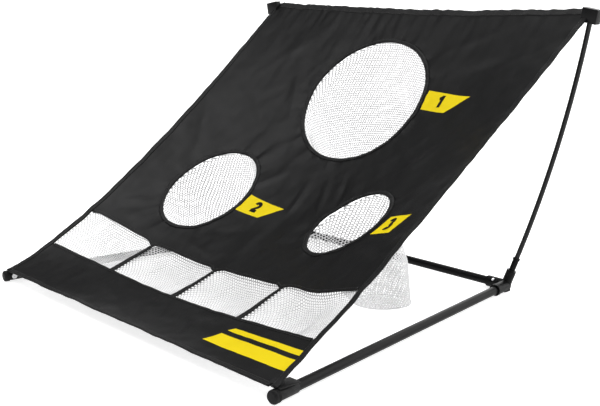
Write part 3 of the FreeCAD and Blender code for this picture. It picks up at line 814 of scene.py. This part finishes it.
def stitch_row(name, spot, length, thick):
    """Stitches on a tape of a thickness, along the plan points spot(t) for t from 0 to 1."""
    lift = thick / 2 + STITCH_RISE
    row = bmesh.new()
    count = int(length / STITCH_STEP)
    for k in range(count):
        start = on_cloth(*spot((k + 0.2) / count), lift)
        end = on_cloth(*spot((k + 0.8) / count), lift)
        turned = (end - start).to_track_quat("X", "Z").to_matrix().to_4x4()
        turned.translation = (start + end) / 2
        bead = bmesh.ops.create_icosphere(row, subdivisions=1, radius=1.0)
        for point in bead["verts"]:
            point.co = turned @ (point.co * STITCH_SIZE)
    made_piece(name, row, "net", thread_finish)


for name, target in TARGETS.items():
    stitch_row("stitches_rim_" + name,
               lambda t: on_rim(target, 2 * pi * t, RIM_WIDTH - RIM_LIP - RIM_STITCH_INSET),
               2 * pi * target["radius"], RIM_THICK)
for name, spot, inwards, length, thick in EDGE_ROWS:
    stitch_row("stitches_" + name, lambda t: spot(t, inwards), length, thick)

# %% [markdown]
# The nets are knitted with round openings in staggered rows. Such a net can be made from a flat lattice
# of triangles in two operations. Every corner of the lattice is bevelled into a small six-sided face, and
# those faces are then taken away. What is left is yarn, and a little thickness finishes it. The openings
# are about 4 mm wide and 6 mm apart.

# %% A helper that knits a net
NET_PITCH = 6.0
ROW_PITCH = NET_PITCH * sqrt(3) / 2
OPENING_SHARE = 37.0
YARN = 0.5


def knitted_net(name, columns, rows, place, keep=lambda a, b: True):
    """A net whose flat point (a, b) goes to place(a, b). Points that keep() refuses are left out."""
    net = bmesh.new()
    bmesh.ops.create_grid(net, x_segments=columns, y_segments=rows, size=0.5)
    for point in net.verts:
        j = round((point.co.y + 0.5) * rows)
        i = (point.co.x + 0.5) * columns + 0.5 * (j % 2)
        point.co = Vector((i * NET_PITCH, j * ROW_PITCH, 0))
    bmesh.ops.triangulate(net, faces=net.faces, quad_method="SHORT_EDGE")
    gone = []
    for point in net.verts:
        a, b = point.co.x / (columns * NET_PITCH), point.co.y / (rows * ROW_PITCH)
        if keep(a, b):
            point.co = place(a, b)
        else:
            gone.append(point)
    bmesh.ops.delete(net, geom=gone, context="VERTS")
    bmesh.ops.remove_doubles(net, verts=net.verts, dist=0.05 * MM)
    bevelled = bmesh.ops.bevel(net, geom=list(net.verts), offset=OPENING_SHARE, offset_type="PERCENT",
                               affect="VERTICES", segments=1, profile=0.5, material=-1)
    openings = [face for face in bevelled["faces"] if face.is_valid and len(face.verts) > 4]
    bmesh.ops.delete(net, geom=openings, context="FACES")
    bmesh.ops.recalc_face_normals(net, faces=net.faces)
    piece = made_piece(name, net, "net", white_yarn, smooth=False)
    thicken(piece, YARN)
    return piece


# %% [markdown]
# Behind each target hangs a net like a wide sock. It starts on the underside of the rim, falls, narrows,
# and is closed by a flat foot. Three rings, near the mouth, at the waist and at the foot, give its shape.
# Soft upright folds deepen towards the middle.

# %% The shape of a target net
BAG_MARGIN = 2.0
TOP_BAG_DROP = 190.0
MOUTH_DROP = 0.12
WAIST_PLACE = 0.55
SEWN_OUTSIDE, SEWN_UNDER = 5.0, 2.8
MEAN_GIRTH = 0.86
BROAD_GATHER, BROAD_RATE, BROAD_DRIFT = 9.0, 2.2, 0.7
SMALL_GATHER, SMALL_RATE, SMALL_DRIFT = 3.2, 6.0, 2.2
DRAWN_IN = 3.0
FOOT_SLACK, SLACK_SIZE = 1.4, 30
NET_CLEARANCE, FOOT_RISE, SEAM_CLEARANCE = 1.5, 0.6, 1.0
TARGETS["top"].update(foot_height=TARGETS["top"]["centre"].z - TOP_BAG_DROP, back=40.0,
                      waist=0.8, lean=1.0, foot=0.62)
for name, foot in (("left", 0.66), ("right", 0.61)):
    TARGETS[name].update(foot_height=3.8, back=98.0, waist=0.9, lean=2.0, foot=foot)


def bag_rings(target):
    """A target net's mouth, waist and foot, each as its centre, its plane and its share of the mouth."""
    centre = target["centre"]
    foot = Vector((centre.x, centre.y + target["back"], target["foot_height"]))
    lean = (target["normal"] + Vector((0, 0, target["lean"]))).normalized()
    return [(centre - target["normal"] * (target["radius"] * MOUTH_DROP), target["normal"], 1.0),
            (centre.lerp(foot, WAIST_PLACE), lean, target["waist"]),
            (foot, Vector((0, 0, 1)), target["foot"])]


def ring_point(target, ring, angle):
    """The point of a ring below an angle of the target's oval."""
    centre, normal, share = ring
    across = (Vector((1, 0, 0)) - normal * normal.x).normalized()
    u, v = oval(target, angle, BAG_MARGIN * share, share)
    return centre + across * u + normal.cross(across) * v


def bag_line(target, angle):
    """The corners of the net's line below a point of the rim, from the foot up, and their places along it."""
    x, y = on_rim(target, angle, SEWN_OUTSIDE)
    off = cloth_normal(x, y) * (wrinkle(x, y) - SEWN_UNDER)
    sewn = Vector((x, y, calm_height(x, y))) + off
    points = [ring_point(target, ring, angle) for ring in reversed(bag_rings(target))] + [sewn]
    distances = [0.0]
    for lower, upper in zip(points[:-1], points[1:]):
        distances.append(distances[-1] + (upper - lower).length)
    return points, distances


def along_line(points, distances, s):
    """The point at a distance along the line."""
    for k in range(len(points) - 1):
        if s <= distances[k + 1] or k == len(points) - 2:
            t = min(max((s - distances[k]) / (distances[k + 1] - distances[k]), 0.0), 1.0)
            return points[k].lerp(points[k + 1], t)


def gathered(point, angle, share, middle, seed):
    """Moves a point of the net in or out of the sock, where its folds run."""
    deep = sin(pi * min(max(share, 0.0), 1.0)) ** 0.6
    broad = BROAD_GATHER * ring_noise(angle, BROAD_RATE, seed + share * BROAD_DRIFT)
    small = SMALL_GATHER * ring_noise(angle, SMALL_RATE, seed + 9 + share * SMALL_DRIFT)
    out = Vector((point.x - middle.x, point.y - middle.y, 0)).normalized()
    return point + out * deep * (broad + small - DRAWN_IN)


def target_net(name, target):
    columns = int(2 * pi * target["radius"] * MEAN_GIRTH / NET_PITCH)
    lines = [bag_line(target, pi * k / columns) for k in range(2 * columns)]
    longest = max(distances[-1] for points, distances in lines)
    middle = bag_rings(target)[1][0]

    def line_of(a):
        return lines[round(a * columns * 2) % (2 * columns)]

    def keep(a, b):
        return b * longest <= line_of(a)[1][-1]

    def place(a, b):
        points, distances = line_of(a)
        point = along_line(points, distances, b * longest)
        point = gathered(point, 2 * pi * a, b * longest / distances[-1], middle, target["radius"])
        return metres(point.x + slip(target["y"]), point.y, max(point.z, NET_CLEARANCE))

    piece = knitted_net("target_net_" + name, columns, int(longest / ROW_PITCH), place, keep)
    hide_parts("target_bag_" + name)


def foot_net(name, target):
    """The flat foot inside the lowest ring, a little slack."""
    centre, _, share = bag_rings(target)[2]
    reach = target["long"] * share + BAG_MARGIN

    def plan(a, b):
        return (2 * a - 1) * reach, (2 * b - 1) * reach

    def keep(a, b):
        return hypot(*oval_shares(target, *plan(a, b))) < share

    def place(a, b):
        u, v = plan(a, b)
        slack = FOOT_SLACK * wavy(u, v, SLACK_SIZE, 4)
        return metres(centre.x + u + slip(target["y"]), centre.y + v, centre.z + FOOT_RISE + slack)

    columns, rows = int(2 * reach / NET_PITCH), int(2 * reach / ROW_PITCH)
    knitted_net("target_net_foot_" + name, columns, rows, place, keep)


for name, target in TARGETS.items():
    target_net(name, target)
    foot_net(name, target)

# %% [markdown]
# A bead of white tape is sewn round each foot: the same grid again, with one number round the foot and one
# round the bead.

# %% Seams round the feet
BEAD = 1.5
BEAD_HEIGHT = 1.2


def foot_seam(name, target):
    ring = bag_rings(target)[2]

    def place(a, b):
        point = ring_point(target, ring, 2 * pi * a)
        out = (point - ring[0]).normalized()
        bead = 2 * pi * b
        point += out * (BEAD * cos(bead)) + Vector((0, 0, BEAD_HEIGHT + BEAD * sin(bead)))
        return metres(point.x + slip(target["y"]), point.y, max(point.z, SEAM_CLEARANCE))

    seam = bent_grid(120, 8, place)
    closed_up(seam)
    piece = made_piece("foot_seam_" + name, seam, "net", white_yarn)


for name, target in TARGETS.items():
    foot_seam(name, target)

# %% [markdown]
# The four pockets are shallow hammocks of the same net. Each is sewn under the band in front, under the
# panel at the back and under the straps or tapes at its sides, and sags between them like a spoon.

# %% Pocket nets
POCKET_DEPTH, POCKET_UNDER, POCKET_LEAN = 25.0, 2.2, 4
SEWN_LAP, SAG_ROWS = 5, 1.2
SIDE_POWER, END_POWER = 2.6, 2.4
OUTER_RAMP, RAMP_POWER = 0.42, 1.2
RUMPLES = [(3.0, 36, 11.0), (1.6, 14, 2.0)]
POCKET_SIDES = [-POCKET_HALF - SEWN_LAP, *STRAPS, POCKET_HALF + SEWN_LAP]
CREASE, CREASE_WIDTH, CREASE_START, CREASE_LEAN = 4.0, 0.03, 0.14, 0.16


def sag(a, b, i):
    """How deep the hammock hangs at a point, as a share of its full depth. Outer sides fall more gently."""
    across = 1 - abs(2 * a - 1) ** SIDE_POWER
    along = 1 - abs(2 * b - 1) ** END_POWER
    if i in (0, 3):
        from_outside = a if i == 0 else 1 - a
        across = min(across, (from_outside / OUTER_RAMP) ** RAMP_POWER)
    return max(across, 0.0) * max(along, 0.0)


def pocket_net(i):
    x0, x1 = POCKET_SIDES[i:i + 2]
    columns = int((x1 - x0) / NET_PITCH)
    rows = int(SAG_ROWS * (PANEL_START + PANEL_SCALLOP - BAND_END) / ROW_PITCH)

    def place(a, b):
        a = min(max(a, 0.0), 1.0)
        x = x0 + (x1 - x0) * a
        y0, y1 = band_end(x) - SEWN_LAP, panel_front(x) + SEWN_LAP
        y = y0 + (y1 - y0) * b
        rumple = sum(height * wavy(x, y, size, seed + i) for height, size, seed in RUMPLES)
        crease = CREASE * exp(-((a - CREASE_START - CREASE_LEAN * b) / CREASE_WIDTH) ** 2)
        depth = POCKET_UNDER + sag(a, b, i) * (POCKET_DEPTH + rumple - crease)
        return on_cloth(x + POCKET_LEAN * (b - 0.5), y, -depth)

    piece = knitted_net("pocket_net_%d" % (i + 1), columns, rows, place)
    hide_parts("pocket_bag_%d" % (i + 1))


for i in range(4):
    pocket_net(i)

# %% [markdown]
# The yellow marks are printed on the cloth. Each is a thin patch between four corners, laid a hair over the
# cloth so that it follows every fold.

# %% Yellow marks
PRINT_LIFT = 0.75
MARKS = {
    "tag_top": [(183, 615.5), (251, 604.5), (296, 631.5), (178, 650.5)],
    "tag_left": [(-107.5, 365), (-35.5, 364), (12.5, 396), (-100.5, 405)],
    "tag_right": [(302, 342), (351, 337), (374, 371), (319.5, 378)],
    "narrow_bar": [(217.5, 81), (417.5, 67), (416.5, 77), (226.5, 91)],
    "wide_bar": [(198, 41.5), (425, 33.5), (421, 58.5), (214, 70.5)],
}


def printed_patch(name, corners):
    p0, p1, p2, p3 = [Vector(corner) for corner in corners]

    def place(a, b):
        return on_cloth(*p0.lerp(p1, a).lerp(p3.lerp(p2, a), b), PRINT_LIFT)

    patch = bent_grid(40, 14, place, (p1 - p0).length * MM, (p3 - p0).length * MM)
    piece = made_piece(name, patch, "net", yellow_print)


for name, corners in MARKS.items():
    printed_patch(name, corners)

# %% [markdown]
# Each tag carries its score as a plain, slightly slanted digit, drawn in two strokes of a pen. A stroke is
# the same grid again: one number along its line and one across the pen. The strokes are given in a box one
# unit high, and grow with the digit.

# %% Digits on the tags
SLANT = 0.1
PEN = 0.29
BROAD = 1.25
DIGIT_MIDDLE = Vector((0.3, 0.5))
DIGIT_LIFT = PRINT_LIFT + 0.3


def arc(x, y, radius, start, end, steps=14):
    """Points on a part of a circle, from one angle in degrees to another."""
    angles = [radians(start + (end - start) * k / steps) for k in range(steps + 1)]
    return [(x + radius * cos(angle), y + radius * sin(angle)) for angle in angles]


STROKES = {
    "1": [[(0.36, 1.0), (0.36, 0.0)], [(0.06, 0.74), (0.36, 0.92)]],
    "2": [arc(0.3, 0.68, 0.24, 165, -35) + [(0.05, 0.1)], [(0.0, 0.1), (0.62, 0.1)]],
    "3": [arc(0.28, 0.71, 0.2, 150, -90), arc(0.27, 0.31, 0.22, 90, -150)],
}


def line_point(line, t):
    """The point at a share t of a line, counted in its parts."""
    spot = min(max(t, 0.0), 1.0) * (len(line) - 1)
    k = min(int(spot), len(line) - 2)
    return Vector(line[k]).lerp(Vector(line[k + 1]), spot - k)


def pen_point(line, a, b):
    """A point of a stroke, for a along its line and b across the pen."""
    ahead = (line_point(line, a + 0.02) - line_point(line, a - 0.02)).normalized()
    return line_point(line, a) + Vector((-ahead.y, ahead.x)) * ((b - 0.5) * PEN)


def printed_digit(name, digit, centre, height):
    shape = bmesh.new()
    threads = shape.loops.layers.uv.new("threads")
    for line in STROKES[digit]:
        stroke = bmesh.ops.create_grid(shape, x_segments=30, y_segments=3, size=0.5)
        for point in stroke["verts"]:
            u, v = (pen_point(line, point.co.x + 0.5, point.co.y + 0.5) - DIGIT_MIDDLE) * height
            u *= BROAD
            for corner in point.link_loops:
                corner[threads].uv = (u * MM, v * MM)
            point.co = on_cloth(centre[0] + u + SLANT * v, centre[1] + v, DIGIT_LIFT)
    piece = made_piece(name, shape, "net", black_print)


printed_digit("digit_top", "1", (226.0, 627), 21)
printed_digit("digit_left", "2", (-61.5, 384.3), 23)
printed_digit("digit_right", "3", (334.5, 359), 23)

# %% [markdown]
# The rods' tips sit in two stiff corner pockets of doubled cloth, and two tabs of webbing and two cuffs
# hold the front corners down. The frame gives their shapes with sharp edges. A copy of each is merged
# and bevelled, so that its edges become the soft, thick ones of folded cloth. The corner pockets are
# longer in the frame than in the photograph, so their lower ends are drawn up along the rods.

# %% Corner pockets, tabs and cuffs
POCKET_EDGE, WEBBING_EDGE = 0.7, 0.5
POCKET_DRAWN_UP = 8.0
SHARP = 0.5


def middle_of(points):
    return sum((point.co for point in points), Vector()) / len(points)


def softened(node_name, body, radius, finish, drawn_up=0.0):
    """A merged copy of a node with soft edges. Its lower end may be drawn up along the piece."""
    shape = bmesh.new()
    shape.from_mesh(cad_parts[node_name].data)
    bmesh.ops.remove_doubles(shape, verts=shape.verts, dist=0.01 * MM)
    bmesh.ops.dissolve_limit(shape, angle_limit=0.02, verts=shape.verts, edges=shape.edges)
    if drawn_up:
        heights = [point.co.z for point in shape.verts]
        halfway = (min(heights) + max(heights)) / 2
        upper = [point for point in shape.verts if point.co.z > halfway]
        lower = [point for point in shape.verts if point.co.z <= halfway]
        rise = middle_of(upper) - middle_of(lower)
        bmesh.ops.translate(shape, verts=lower, vec=rise.normalized() * drawn_up * MM)
    sharp = [edge for edge in shape.edges if len(edge.link_faces) == 2 and edge.calc_face_angle() > SHARP]
    bmesh.ops.bevel(shape, geom=sharp, offset=radius * MM, offset_type="OFFSET", affect="EDGES", segments=3,
                    profile=0.5, material=-1, clamp_overlap=True)
    bmesh.ops.recalc_face_normals(shape, faces=shape.faces)
    threads = shape.loops.layers.uv.verify()
    for face in shape.faces:
        for corner in face.loops:
            corner[threads].uv = (corner.vert.co.x, corner.vert.co.z)
    piece = made_piece(node_name + "_cloth", shape, body, finish)
    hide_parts(node_name)


for word in SIDES:
    softened("corner_pocket_" + word, "net", POCKET_EDGE, dark_cloth, POCKET_DRAWN_UP)
    softened("corner_tab_" + word, "net", WEBBING_EDGE, webbing_finish)
    softened("front_cuff_" + word, "base", WEBBING_EDGE, webbing_finish)
